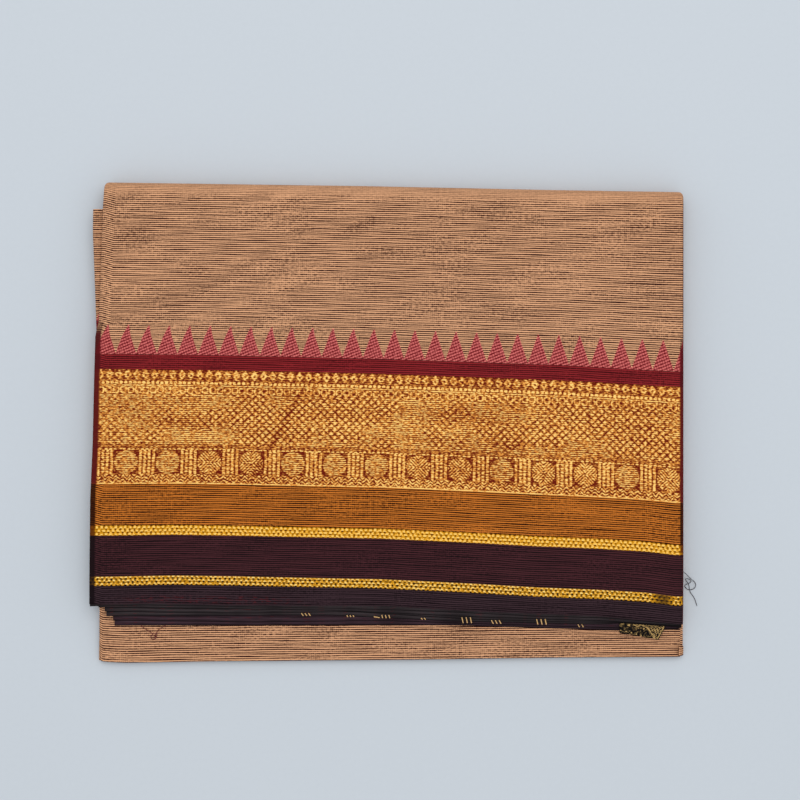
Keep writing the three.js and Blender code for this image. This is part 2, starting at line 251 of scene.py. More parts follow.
def smooth(value, low, high):
    share = min(max((value - low) / (high - low), 0.0), 1.0)
    return share * share * (3 - 2 * share)


def swell_height(x, y):
    total = 0.0
    for (x0, y0), (reach_x, reach_y), height in SWELLS:
        away = math.hypot((x - x0) / reach_x, (y - y0) / reach_y)
        total += height * (1 - smooth(away, 0, 1))
    return total


def crease_height(creases, x, y):
    total = 0.0
    for (x0, y0), (x1, y1), half_width, height in creases:
        along = ((x - x0) * (x1 - x0) + (y - y0) * (y1 - y0)) / ((x1 - x0) ** 2 + (y1 - y0) ** 2)
        along = min(max(along, 0.0), 1.0)
        away = math.hypot(x - blend(x0, x1, along), y - blend(y0, y1, along))
        total += height * (1 - smooth(away, 0, half_width))
    return total


def middle_plane(y):
    return HALF - BACK_DROP["height"] * smooth(-y, BACK_DROP["start"], BACK_DROP["stop"])


def front_top(x, y):
    drop = FRONT_DROP["height"] * smooth(-y, FRONT_DROP["start"], FRONT_DROP["stop"])
    return middle_plane(y) + HALF - drop + swell_height(x, y) + crease_height(FRONT_CREASES, x, y)


def height_at(half, depth, x, y):
    """Height of a depth in the front or back half, where the plies between the walls give way."""
    middle = middle_plane(y)
    if half == "front":
        inner, outer, keep_outer = middle + depth, front_top(x, y) - (HALF - depth), FIXED_OUTER
    else:
        inner, keep_outer = middle - depth, CORE_DEPTH
        outer = HALF - depth + crease_height(UNDERSIDE_CREASES, x, y) * depth / HALF
    share = min(max((depth - FIXED_INNER) / (keep_outer - FIXED_INNER), 0.0), 1.0)
    return blend(inner, outer, share)


def top_fold_start(x):
    return between_rows(TOP_EDGE, x) - TOP_FOLD_REACH


def in_frame(x, y, z):
    """A place in metres, in the frame, from one in millimetres on the pack's own axes."""
    return Vector(((x + FRAME_SHIFT[0]) * MM, (y + FRAME_SHIFT[1]) * MM, z * MM))


def frame_shift():
    """How far the frame's origin lies from that of the tables, read off the third inner selvedge."""
    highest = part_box("third_inner_selvedge")[1]
    return (highest[0] / MM - THIRD_SELVEDGE_RIGHT_X, highest[1] / MM - SELVEDGE_TUCK_Y)


FRAME_SHIFT = frame_shift()


def half_ellipse_length(reach, rise):
    return math.pi * math.sqrt((reach * reach + rise * rise) / 2)


def middle_and_rise(fold):
    return (fold["low"] + fold["high"]) / 2, (fold["high"] - fold["low"]) / 2


def fold_length(fold):
    """Length of the cloth in a fold's half turn."""
    return half_ellipse_length(fold["reach"], middle_and_rise(fold)[1])


def fold_turn(fold, share):
    """Place on a fold's half turn: how far out it reaches and its depth, from the inner lip to the outer."""
    angle = math.radians(blend(-90, 90, share))
    middle, rise = middle_and_rise(fold)
    return fold["reach"] * math.cos(angle), middle + rise * math.sin(angle)


LEFT_TURN = fold_length(LEFT_FOLD)
RIGHT_TURN = fold_length(RIGHT_FOLD)
TOP_TURN = half_ellipse_length(TOP_FOLD_REACH, HALF)
FLAT_WIDTH = 360.0
FLAT_TO = LEFT_TURN + FLAT_WIDTH
OUTER_WIDTH = FLAT_TO + RIGHT_TURN
BACK_LENGTH = 284.0
NOSE_TURN = half_ellipse_length(OUTER_WALL / 2, OUTER_WALL / 2)
NOSE_RETURN = 5.0
BACK_FROM = FRONT_LENGTH + TOP_TURN
NOSE_FROM = BACK_FROM + BACK_LENGTH
OUTER_LENGTH = NOSE_FROM + NOSE_TURN + NOSE_RETURN


def front_y(x, v):
    """y of a point of the front, from its height above the selvedge on the flat cloth."""
    lines = [
        (0.0, between_rows(SELVEDGE_LINE, x)),
        (LOWER_GOLD_FROM, between_rows(LOWER_GOLD_LINE, x)),
        (TRIANGLES_FROM, between_rows(TRIANGLE_LINE, x)),
        (FRONT_LENGTH, top_fold_start(x)),
    ]
    return between_rows(lines, v)


def pack_x(half_share, y, across, inset):
    """x of a point: on the front where half_share is 0, on the back where it is 1, or on the fold between."""
    left = blend(between_rows(FRONT_LEFT_EDGE, y), between_rows(BACK_LEFT_EDGE, y), half_share)
    return blend(left, blend(FRONT_RIGHT_X, BACK_RIGHT_X, half_share), across) + inset


def along_pack(v, across, inset, depth):
    """Place of a point of the folded cloth, v millimetres up from the front selvedge."""
    x0 = blend(-FRONT_RIGHT_X, FRONT_RIGHT_X, across)
    top = top_fold_start(x0)
    end = between_rows(BOTTOM_EDGE, x0) + BACK_FOLD_RECESS
    if v <= FRONT_LENGTH:
        y = front_y(x0, v)
        x = pack_x(0, y, across, inset)
        return in_frame(x, y, height_at("front", depth, x, y))
    if v < BACK_FROM:
        angle = math.radians(blend(90, -90, (v - FRONT_LENGTH) / TOP_TURN))
        x = pack_x((1 - math.sin(angle)) / 2, top, across, inset)
        bend = TOP_FOLD_REACH * depth * math.cos(angle) / HALF
        return in_frame(x, top + bend, HALF + depth * math.sin(angle))
    past = v - NOSE_FROM
    if past < 0:
        y = blend(top, end, (v - BACK_FROM) / BACK_LENGTH)
    elif past < NOSE_TURN:
        angle = math.pi * past / NOSE_TURN
        y = end - OUTER_WALL / 2 * math.sin(angle)
        depth -= OUTER_WALL / 2 * (1 - math.cos(angle))
    else:
        y = end + past - NOSE_TURN
        depth -= OUTER_WALL
    x = pack_x(1, y, across, inset)
    return in_frame(x, y, height_at("back", depth, x, y))


# Making sheets


def knots(*stretches):
    """Values from the first number on: each stretch is (end, cells)."""
    values = [stretches[0]]
    for end, cells in stretches[1:]:
        start = values[-1]
        values.extend(start + (end - start) * (i + 1) / cells for i in range(cells))
    return values


def add_grid(bm, columns, rows, spot):
    """Adds a grid, and writes each point's (column, row) values into the spot layer."""
    nx, ny = len(columns) - 1, len(rows) - 1
    made = bmesh.ops.create_grid(bm, x_segments=nx, y_segments=ny, size=0.5)
    for vert in made["verts"]:
        i = round((vert.co.x + 0.5) * nx)
        j = round((vert.co.y + 0.5) * ny)
        vert[spot] = Vector((columns[i], rows[j], 0.0))
    return made["verts"]


def new_object(name, data):
    """A linked object at the origin that holds a mesh, a light or a camera."""
    made = bpy.data.objects.new(name, data)
    bpy.context.collection.objects.link(made)
    return made


def finish_mesh(bm, name, material, uv_of):
    """Makes a bmesh an object, with the cloth's own sizes as its UV map."""
    spot = bm.verts.layers.float_vector["spot"]
    uv = bm.loops.layers.uv.new(UV_NAME)
    for face in bm.faces:
        face.smooth = True
        for loop in face.loops:
            loop[uv].uv = uv_of(loop.vert[spot])
    mesh = bpy.data.meshes.new(name)
    bm.to_mesh(mesh)
    bm.free()
    mesh.materials.append(material)
    return new_object(name, mesh)


def cloth_sheet(name, material, columns, rows, place, uv_from=(0.0, 0.0)):
    """A sheet cut flat as a grid, each of whose points is moved to where the fold puts it."""
    bm = bmesh.new()
    spot = bm.verts.layers.float_vector.new("spot")
    add_grid(bm, columns, rows, spot)
    for vert in bm.verts:
        vert.co = place(vert[spot].x, vert[spot].y)
    piece = finish_mesh(bm, name, material, lambda s: ((s.x + uv_from[0]) * MM, (s.y + uv_from[1]) * MM))
    wall = piece.modifiers.new("Wall", "SOLIDIFY")
    wall.thickness = cloth_settings().ply_thickness
    wall.offset = -1.0
    return piece


def declare(piece, slot, *nodes):
    """Attaches a piece to the body it rides on and hides the nodes it stands for; slot is not used."""
    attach(piece, BODY)
    if nodes:
        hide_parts(*nodes)


def declare_sheet(piece, slot, node, width, length):
    """The same for a folded sheet; the size it was cut to, width and length in millimetres, is not used."""
    declare(piece, slot, node)
    width * MM
    length * MM


# Patterns in materials


def add_node(tree, kind, inputs, **settings):
    """A shader node with these settings, whose inputs are set to values or linked to sockets."""
    node = tree.nodes.new("ShaderNode" + kind)
    for name, value in settings.items():
        setattr(node, name, value)
    for name, value in inputs.items():
        if isinstance(value, bpy.types.NodeSocket):
            tree.links.new(value, node.inputs[name])
        else:
            node.inputs[name].default_value = value
    return node


def blank_material(name, roughness, specular, metallic=0.0):
    """A material whose shader has this finish all over."""
    material = bpy.data.materials.new(name)
    material.use_nodes = True
    shader = material.node_tree.nodes["Principled BSDF"]
    shader.inputs["Roughness"].default_value = roughness
    shader.inputs["Specular IOR Level"].default_value = specular
    shader.inputs["Metallic"].default_value = metallic
    return material, material.node_tree, shader


class Reading:
    """A number that varies over the cloth, taken from a node's output."""

    def __init__(self, tree, socket):
        self.tree = tree
        self.socket = socket

    def math(self, operation, *others):
        values = (self.socket, *(other.socket if isinstance(other, Reading) else other for other in others))
        node = add_node(self.tree, "Math", dict(enumerate(values)), operation=operation)
        return Reading(self.tree, node.outputs[0])

    def __add__(self, other):
        return self.math("ADD", other)

    def __sub__(self, other):
        return self.math("SUBTRACT", other)

    def __mul__(self, other):
        return self.math("MULTIPLY", other)

    def inverse(self):
        """One minus the reading."""
        return (self * -1.0) + 1.0

    def size(self):
        return self.math("ABSOLUTE")

    def held(self):
        """The reading, kept from 0 to 1."""
        return self.math("MINIMUM", 1.0).math("MAXIMUM", 0.0)

    def wave(self, pitch, phase=0.0):
        """From 0 to 1 and back, once a pitch."""
        turned = (self * (2 * math.pi / pitch)) + 2 * math.pi * phase
        return turned.math("SINE").math("MULTIPLY_ADD", 0.5, 0.5)

    def repeated(self, pitch):
        """Distance from the middle of the nearest repeat."""
        return self.math("FLOORED_MODULO", pitch) - pitch / 2

    def above(self, edge, soft=0.15):
        """0 below an edge and 1 above it."""
        ends = {"Value": self.socket, "From Min": edge - soft, "From Max": edge + soft}
        return Reading(self.tree, add_node(self.tree, "MapRange", ends).outputs["Result"])

    def below(self, edge, soft=0.15):
        return self.above(edge, soft).inverse()

    def within(self, low, high, soft=0.15):
        return self.above(low, soft) * self.below(high, soft)


def choose(first, second, share):
    """The first reading where share is 0, and the second where it is 1."""
    return first + (second - first) * share


def colour(red, green, blue):
    """A colour in linear values, from its 8-bit ones."""
    return tuple(
        (c / 255 / 12.92) if c <= 10.3 else (((c / 255) + 0.055) / 1.055) ** 2.4 for c in (red, green, blue)
    ) + (1.0,)


class ClothMaterial:
    """A material that reads the flat cloth's own sizes, in millimetres along and above the selvedge."""

    def __init__(self, name, roughness=COTTON_ROUGHNESS):
        self.material, self.tree, self.shader = blank_material(name, roughness, COTTON_SPECULAR)
        self.uv = add_node(self.tree, "UVMap", {}, uv_map=UV_NAME).outputs[0]
        split = add_node(self.tree, "SeparateXYZ", {0: self.uv})
        self.u = Reading(self.tree, split.outputs[0]) * (1 / MM)
        self.v = Reading(self.tree, split.outputs[1]) * (1 / MM)

    def noise(self, size_u, size_v, detail=1.0, turn=0.0):
        """Soft random reading from 0 to 1, in patches of these sizes in millimetres, turned by degrees."""
        patch = {
            "Vector": self.uv,
            "Scale": (MM * size_u, MM * size_v, 1.0),
            "Rotation": (0.0, 0.0, math.radians(turn)),
        }
        mapping = add_node(self.tree, "Mapping", patch, vector_type="TEXTURE")
        grain = {"Vector": mapping.outputs[0], "Scale": 1.0, "Detail": detail}
        return Reading(self.tree, add_node(self.tree, "TexNoise", grain, noise_dimensions="2D").outputs[0])

    def uneven(self, size_u, size_v, amount):
        """Soft random reading to add, which is as often below 0 as above it."""
        return (self.noise(size_u, size_v) - 0.5) * amount

    def mixed(self, share, first, second):
        """First colour where share is 0 and second where it is 1."""
        inputs = {"Factor": share.socket, 6: first, 7: second}
        return add_node(self.tree, "Mix", inputs, data_type="RGBA").outputs[2]

    def link(self, socket, name):
        self.tree.links.new(socket, self.shader.inputs[name])

    def bump(self, height, strength=0.35, distance=0.12):
        inputs = {"Strength": strength, "Distance": distance * MM, "Height": height.socket}
        self.link(add_node(self.tree, "Bump", inputs).outputs[0], "Normal")


def thread_lines(cloth, pitch, bend=0.0):
    """Fine lines along the cloth, as uneven as hand-woven thread, with diagonal streaks that are partly
    painted shade, from 0 in the dark ones to 1.
    """
    waver = cloth.uneven(26, 1.6, 0.8)
    bent = cloth.u.below(LEFT_TURN + 2.5, 3.0) * bend
    lines = (cloth.v + waver - bent).wave(pitch).above(0.5, 0.22)
    patches = cloth.noise(34, 18, 2.0).above(0.5, 0.14) * 0.75 + 0.75
    each_line = cloth.noise(11, 1.3) * 0.8 + 0.85
    warp = (cloth.u.wave(WARP_PITCH) - 0.5) * 0.24
    flecks = cloth.uneven(2.0, 0.9, 1.5)
    # Diagonal streaks of lighter and darker lines: partly the uneven spacing of the threads, partly painted
    # shade of the cloth's soft undulations
    on_left, on_right = cloth.noise(80, 10, turn=27.0), cloth.noise(70, 8, turn=3.0)
    shade_and_thread_streaks = (choose(on_left, on_right, cloth.u.above(190.0, 45.0)) - 0.5) * 0.75
    return (lines - 0.5) * patches * each_line + flecks + warp + shade_and_thread_streaks + 0.52


def zari_motifs(cloth):
    """Share of gold in the wide band: rows of drops, lattice, roundels between ladders, and chevrons."""
    u = cloth.u - LEFT_TURN
    down = (cloth.v * -1.0) + MAROON_FROM
    weft = cloth.v.wave(ZARI_WEFT_PITCH)

    drop_u = (u + 1.0).repeated(DROP_PITCH).size()
    drop_down = down - 3.1
    drop = (drop_u * 0.4 + drop_down.size() * 0.3).below(0.98, 0.2)
    hole = (drop_u * drop_u + (drop_down - 0.5) * (drop_down - 0.5)).above(0.5, 0.3)
    drops = drop * hole * 0.6 + 0.22

    beads = (u.wave(BEAD_PITCH) * (down + 0.4).wave(2.6)).above(0.22, 0.2) * 0.7 + 0.3
    oval_u = u.repeated(OVAL_PITCH)
    oval_down = down - 12.6
    ovals = (oval_u * oval_u * 0.2 + oval_down * oval_down * 0.16).within(0.3, 1.0, 0.3) * 0.7 + 0.2

    slant = (u + down).repeated(LATTICE_PITCH).size()
    counter = (u - down).repeated(LATTICE_PITCH).size()
    lattice = slant.above(0.5, 0.4) * counter.above(0.5, 0.4)
    spark = slant.above(1.5, 0.4) * counter.above(1.5, 0.4)
    clear = cloth.noise(46, 26).above(0.5, 0.08)
    field = choose(weft * 0.6 + 0.28, lattice * 0.7 + spark * 0.55, clear * 0.62 + 0.12)

    cell_u = (u - 5.9).repeated(ROUNDEL_PITCH)
    round_down = down - 57.3
    disc = (cell_u * cell_u + round_down * round_down).math("SQRT").below(ROUNDEL_RADIUS, 0.3)
    side = cell_u.size()
    crossed = (side - round_down.size()).wave(2.1)
    is_crossed = u.above(CROSSED_ROUNDELS[-1][0], 0.1)
    for low, high in CROSSED_ROUNDELS[:-1]:
        is_crossed = is_crossed + u.within(low, high, 0.1)
    hatched = choose(weft, crossed, is_crossed) * 0.62 + 0.14
    bars = side.within(8.0, 9.7, 0.25) * 0.66
    between = side.above(10.2, 0.2)
    column = between * (side - 11.55).size().below(0.75, 0.3) * (cloth.v.wave(2.2) * 0.5 + 0.25)
    roundels = disc * hatched + bars + column + between * 0.2 + 0.13

    zigzag = down + u.repeated(CHEVRON_PITCH).size() * 0.9 + cloth.noise(5, 3) * 2.0
    chevron = zigzag.wave(2.2).above(0.42, 0.4) * 0.7 + 0.12

    # Each row's top, in millimetres below the maroon stripe, and its motif
    rows = [
        (6.3, beads), (9.0, weft * 0.6 + 0.3), (10.7, ovals), (15.0, field), (46.6, weft * 0.4 + 0.15),
        (47.6, beads), (49.6, roundels), (64.7, chevron), (69.9, weft * 0.3 + 0.75),
    ]
    gold = drops
    for top, motif in rows:
        gold = choose(gold, motif, down.above(top, 0.3))
    dashes = (cloth.noise(3.4, 0.8) + weft * 0.12).above(0.56, 0.1) * 0.55
    # Painted shade along the crease that runs slantwise through the wide band, strongest in the middle rows
    crease_shade = (u + (down * 0.552) - 133.4).size().below(1.7, 1.2)
    crease_shade = crease_shade * (down.within(14.0, 64.0, 6.0) * 0.3 + 0.06)
    pale = (u - 269.5).size().below(4.0, 2.5) * 0.1 + (u - 190.0).size().below(4.0, 3.0) * 0.06
    # Fine grains of painted glints on the metallic thread, and large random patches of tone
    glints_and_patches = cloth.uneven(1.7, 0.75, 1.9) + cloth.uneven(70, 9, 0.45)
    return gold * 1.25 + dashes + glints_and_patches + pale - crease_shade - 0.465


def gold_dashes(cloth):
    """Share of gold in the narrow stripes: three rows of short dashes."""
    row = cloth.v.wave(2.05, 0.1).above(0.35, 0.3)
    dash = (cloth.u + (cloth.v * 0.49).math("FLOOR") * 1.4).wave(2.9).above(0.4, 0.35)
    return dash * 0.6 + row * 0.5 + cloth.uneven(1.6, 1.0, 1.5) + 0.04


def temple_triangles(cloth, pitch):
    """Where the row of triangles is."""
    first_tip, step = LEFT_TURN + 4.3, 1.3
    spread = cloth.u.above(LEFT_TURN + 326.0, 34.0)
    beside = (cloth.u - spread - first_tip + pitch / 2).repeated(pitch).size()
    stepped = ((cloth.v - TRIANGLES_FROM) * (1 / step)).math("FLOOR") * step + 0.6
    rise = stepped * (pitch / 2 / (TRIANGLES_TO - TRIANGLES_FROM))
    return (beside + rise).below(pitch / 2 + 0.25, 0.2) * cloth.v.within(TRIANGLES_FROM, TRIANGLES_TO, 0.1)


def banded(cloth, column, shade):
    """Colour of the band that each height lies in, from a column of the table of bands."""
    result = getattr(colours(), BANDS[0][column] + shade)
    for row in BANDS[1:]:
        result = cloth.mixed(cloth.v.above(row[0], 0.12), result, getattr(colours(), row[column] + shade))
    return result


def border_material():
    """Striped cotton whose lower part is the woven border, read by the height above the selvedge."""
    cloth = ClothMaterial(BORDER_MATERIAL)
    u, v = cloth.u, cloth.v
    lines = thread_lines(cloth, cloth_settings().thread_pitch / MM, 1.5)
    in_zari = v.within(ZARI_FROM, MAROON_FROM, 0.1)
    in_lower = v.within(LOWER_GOLD_FROM, PLUM_FROM, 0.1)
    in_upper = v.within(UPPER_GOLD_FROM, MUSTARD_FROM, 0.1)
    in_narrow = in_lower + in_upper
    triangle = temple_triangles(cloth, cloth_settings().triangle_pitch / MM)
    twill = (v - u * 0.42).wave(1.9) * ((u + v * 0.3).wave(1.6) * 0.6 + 0.4)
    speckled = twill * 1.1 + cloth.uneven(1.6, 1.0, 1.1) + 0.02

    share = choose(lines, zari_motifs(cloth), in_zari)
    share = choose(share, gold_dashes(cloth) - (in_lower * 0.16), in_narrow)
    share = choose(share, speckled, triangle)
    flat = u.within(LEFT_TURN + 1.2, FLAT_TO + 0.5, 0.6)
    lower_right = u.above(FLAT_TO, 1.0) * v.below(UPPER_GOLD_FROM, 2.0)
    # Painted shade where the cloth turns over the left and right folds: the gold and the lines are darkened
    # there, less at the lower right
    rolled_shade = flat.inverse() * v.below(TRIANGLES_TO, 6.0) * ((lower_right * -0.6) + 1.0)
    dull = u.within(LEFT_TURN + 345.0, LEFT_TURN + 355.0, 2.5) * in_lower
    share = share * ((rolled_shade * -0.95) + 1.0) * ((dull * -0.75) + 1.0)
    top_fold = v.above(FRONT_LENGTH - 1.0, 2.5) * v.below(FRONT_LENGTH + TOP_TURN * 0.7, 3.0)
    share = choose(share, (share * 0.3) + 0.5, top_fold).held()

    dark = cloth.mixed(triangle, banded(cloth, 2, "_dark"), colours().triangle_dark)
    light = cloth.mixed(triangle, banded(cloth, 1, "_light"), colours().triangle_light)
    shown = cloth.mixed(share, dark, light)
    glittering = share.above(0.92, 0.08) * (in_zari * 0.8 + in_upper * 0.65 + in_lower)
    shown = cloth.mixed(glittering, shown, colours().gold_glint)
    # Painted shade over the rolled edges, in the border's dark maroon, from the wide band up to the triangles
    above_roll = v.within(ZARI_FROM, TRIANGLES_TO - 4.0, 1.0)
    shown = cloth.mixed(rolled_shade * above_roll * 0.75, shown, colours().roll_shade)
    # Painted shade in a thin line along the flank of the right fold
    right_roll_shade = u.within(FLAT_TO + 2.9, FLAT_TO + 5.6, 0.5) * v.below(FRONT_LENGTH, 8.0)
    shown = cloth.mixed(right_roll_shade * 0.7, shown, colours().roll_shade)
    red = cloth.noise(4, 0.55).above(0.63, 0.03) * v.within(0.8, 5.0, 0.6)
    red = red * u.within(LEFT_TURN + 22.0, LEFT_TURN + 120.0, 12.0)
    cloth.link(cloth.mixed(red * 0.45, shown, colours().stray_red), "Base Color")
    metal = (in_zari + in_narrow) * share
    cloth.link((metal * METAL_SHARE).socket, "Metallic")
    cloth.link((metal * -METAL_SHARE + COTTON_ROUGHNESS).socket, "Roughness")
    cloth.bump(share)
    return cloth.material


def plain_material(name, pitch):
    """The saree's plain striped cotton, with no border."""
    cloth = ClothMaterial(name)
    lines = thread_lines(cloth, pitch).held()
    cloth.link(cloth.mixed(lines, colours().body_dark, colours().body_light), "Base Color")
    cloth.bump(lines)
    return cloth.material


def selvedge_material(name, light):
    """Dense dark cotton of the selvedge, with painted shade along its edge, faint lines and a few red
    threads.
    """
    cloth = ClothMaterial(name)
    weave = (cloth.noise(20, 1.1, 2.0) - 0.5) * 1.1
    lines = (cloth.v + cloth.noise(40, 6) * 1.2).wave(1.9) * 0.2 + weave + 0.55
    # Painted shade in a line along the ply's edge, where it steps down to the ply below
    lines = (lines * cloth.v.above(0.4, 0.2)).held()
    ground = cloth.mixed(lines, colours().selvedge_dark, light)
    red = cloth.noise(6, 0.7).above(0.7, 0.03) * cloth.v.above(1.0, 0.3)
    cloth.link(cloth.mixed(red * 0.4, ground, colours().stray_red), "Base Color")
    cloth.bump(lines, strength=0.4)
    return cloth.material


def corner_material():
    """Black cotton brocaded in gold: upright strokes, a lozenge, a hatched tip in two lines, and dots."""
    cloth = ClothMaterial("end_piece_brocade", roughness=0.7)
    u, v = cloth.u, cloth.v
    speckle = cloth.noise(1.4, 1.2)
    hatch = (u * 0.9 + v).wave(1.6).above(0.6, 0.2) + (u * 0.9 - v).wave(1.6).above(0.66, 0.2)
    strokes = (u - 0.1).repeated(3.8).size().below(0.75, 0.3) * v.within(7.1, 9.6, 0.4) * u.below(8.0, 0.3)
    lozenge = hatch * ((u - 11.0).size() * 0.3 + (v - 8.2).size() * 0.5).below(1.1, 0.3)
    tip_left = u + (v * 1.43) - 24.8
    tip_right = u - 27.1
    rims = tip_left.size().below(0.45, 0.25) + tip_right.size().below(0.3, 0.2)
    tip = hatch * tip_left.above(0.0, 0.3) * tip_right.below(0.0, 0.3) * 0.75
    dots = (u.wave(3.6) * (v + u * 0.18 - 2.0).wave(4.4)).above(0.86, 0.1) * tip_left.below(-1.0, 0.3)
    dots = dots * v.below(5.5, 0.5) + speckle.above(0.6, 0.06) * tip_left.below(-0.5, 0.4) * 0.3
    worn = (strokes + lozenge + tip) * speckle.above(0.46, 0.14)
    gold = ((worn + dots + rims * speckle.above(0.34, 0.1)) * 0.9).math("MINIMUM", 1.0)
    cloth.link(cloth.mixed(gold, colours().selvedge_dark, colours().corner_gold), "Base Color")
    cloth.link((gold * METAL_SHARE).socket, "Metallic")
    cloth.bump(gold, 0.4, 0.15)
    return cloth.material


def mottled_material(name, value, darkest, lightest, scale, roughness, specular=0.5, metallic=0.0):
    """One colour that varies a little over an object, from darkest to lightest times its value."""
    material, tree, shader = blank_material(name, roughness, specular, metallic)
    place = add_node(tree, "TexCoord", {})
    mottle = add_node(tree, "TexNoise", {"Vector": place.outputs["Object"], "Scale": scale})
    dark, light = (tuple(min(c * times, 1.0) for c in value[:3]) + (1.0,) for times in (darkest, lightest))
    mix = add_node(tree, "Mix", {"Factor": mottle.outputs[0], 6: dark, 7: light}, data_type="RGBA")
    tree.links.new(mix.outputs[2], shader.inputs["Base Color"])
    return material


def thread_material(name, value, **finish):
    """Spun thread, whose colour varies along it."""
    return mottled_material(name, value, darkest=0.65, lightest=1.3, scale=900.0, **finish)


# Sizes and colours


def colour_property(name, description, red, green, blue):
    return FloatVectorProperty(
        name=name, description=description, subtype="COLOR", size=4, min=0.0, max=1.0,
        default=colour(red, green, blue),
    )


def length_property(name, description, default):
    return FloatProperty(
        name=name, description=description, default=default, min=0.0, subtype="DISTANCE", unit="LENGTH"
    )


class SareeClothSettings(bpy.types.PropertyGroup):
    """Sizes of the cloth and its woven patterns"""

    ply_thickness: length_property("Ply thickness", "Thickness of one ply of the cloth", 0.00035)
    thread_pitch: length_property("Thread pitch", "From one dark line of the body to the next", 0.0013)
    lower_pitch: length_property("Lower thread pitch", "The same on the stretch below the selvedges", 0.00138)
    triangle_pitch: length_property("Triangle pitch", "From one temple triangle to the next", 0.01277)


class SareeColourSettings(bpy.types.PropertyGroup):
    """Colours of the cloth's threads, the dark and the light of each band"""

    body_light: colour_property("Body light", "Light threads of the body", 230, 172, 129)
    body_dark: colour_property("Body dark", "Dark threads of the body", 52, 20, 17)
    triangle_light: colour_property("Triangle light", "Light twill of the triangles", 224, 116, 112)
    triangle_dark: colour_property("Triangle dark", "Ground of the triangles", 112, 18, 26)
    maroon_light: colour_property("Maroon light", "Light threads of the maroon stripe", 142, 38, 42)
    maroon_dark: colour_property("Maroon dark", "Dark threads of the maroon stripe", 70, 12, 16)
    zari_light: colour_property("Zari light", "Metallic thread of the wide band", 255, 170, 72)
    zari_dark: colour_property("Zari dark", "Ground of the wide band", 108, 24, 10)
    gold_light: colour_property("Gold light", "Metallic thread of the narrow stripes", 255, 180, 30)
    gold_dark: colour_property("Gold dark", "Shade in the narrow stripes", 92, 40, 4)
    gold_glint: colour_property("Gold glint", "Glints of the metallic threads", 255, 222, 134)
    mustard_light: colour_property("Mustard light", "Light threads of the mustard band", 208, 120, 44)
    mustard_dark: colour_property("Mustard dark", "Dark threads of the mustard band", 40, 10, 2)
    plum_light: colour_property("Plum light", "Light threads of the plum band", 74, 38, 43)
    plum_dark: colour_property("Plum dark", "Dark threads of the plum band", 26, 14, 17)
    black_light: colour_property("Black light", "Light threads of the front selvedge", 62, 44, 50)
    black_dark: colour_property("Black dark", "Dark threads of the front selvedge", 22, 13, 17)
    selvedge_light: colour_property("Selvedge light", "Light threads of the inner selvedges", 65, 57, 59)
    third_light: colour_property("Third selvedge", "Light threads of the lowest inner selvedge", 72, 52, 60)
    selvedge_dark: colour_property("Selvedge dark", "Dark threads of the inner selvedges", 15, 11, 13)
    # Painted shade where the border rolls over the sides, in the dark maroon of its ground
    roll_shade: colour_property("Roll edge", "The border's ground where it rolls over the sides", 84, 20, 24)
    stray_red: colour_property("Stray red", "Red threads in the dark selvedges", 104, 26, 32)
    corner_gold: colour_property("Corner gold", "Metallic thread of the end corner", 206, 170, 108)


class SareeStageSettings(bpy.types.PropertyGroup):
    """Floor, light and camera"""

    floor_colour: colour_property("Floor", "Colour of the plain floor", 206, 213, 220)
    camera_height: length_property("Camera height", "Height of the camera above the floor", 1.2)
    sky_strength: FloatProperty(
        name="Sky", description="Strength of the even light", default=0.78, min=0.0
    )
    lamp_power: FloatProperty(
        name="Lamp", description="Power of the large soft lamp", default=9.0, min=0.0, unit="POWER"
    )


def cloth_settings():
    return bpy.context.scene.saree_cloth


def colours():
    return bpy.context.scene.saree_colours


def striped_border():
    """The striped cotton with its border, made the first time it is asked for."""
    return bpy.data.materials.get(BORDER_MATERIAL) or border_material()


# Pieces of cloth


class SAREE_OT_outer_cloth(bpy.types.Operator):
    """Make the outermost cloth: up the front, over the top fold and down the underside"""

    bl_idname = "saree.outer_cloth"
    bl_label = "Outer Cloth"

    def execute(self, context):
        def place(u, v):
            if u < LEFT_TURN:
                out, depth = fold_turn(LEFT_FOLD, u / LEFT_TURN)
                return along_pack(v, 0.0, LEFT_FOLD["reach"] - out, depth)
            if u > FLAT_TO:
                out, depth = fold_turn(RIGHT_FOLD, (OUTER_WIDTH - u) / RIGHT_TURN)
                return along_pack(v, 1.0, out - RIGHT_FOLD["reach"], depth)
            across = (u - LEFT_TURN) / FLAT_WIDTH
            return along_pack(v, across, blend(LEFT_FOLD["reach"], -RIGHT_FOLD["reach"], across), HALF)

        columns = knots(0.0, (LEFT_TURN, 8), (FLAT_TO, 120), (OUTER_WIDTH, 12))
        rows = knots(
            0.0, (FRONT_LENGTH, 88), (BACK_FROM, 18), (NOSE_FROM, 80), (NOSE_FROM + NOSE_TURN, 6),
            (OUTER_LENGTH, 1),
        )
        piece = cloth_sheet("outer_cloth", striped_border(), columns, rows, place)
        declare_sheet(piece, "striped_cotton", "outer_stretch", OUTER_WIDTH, OUTER_LENGTH)
        return {"FINISHED"}


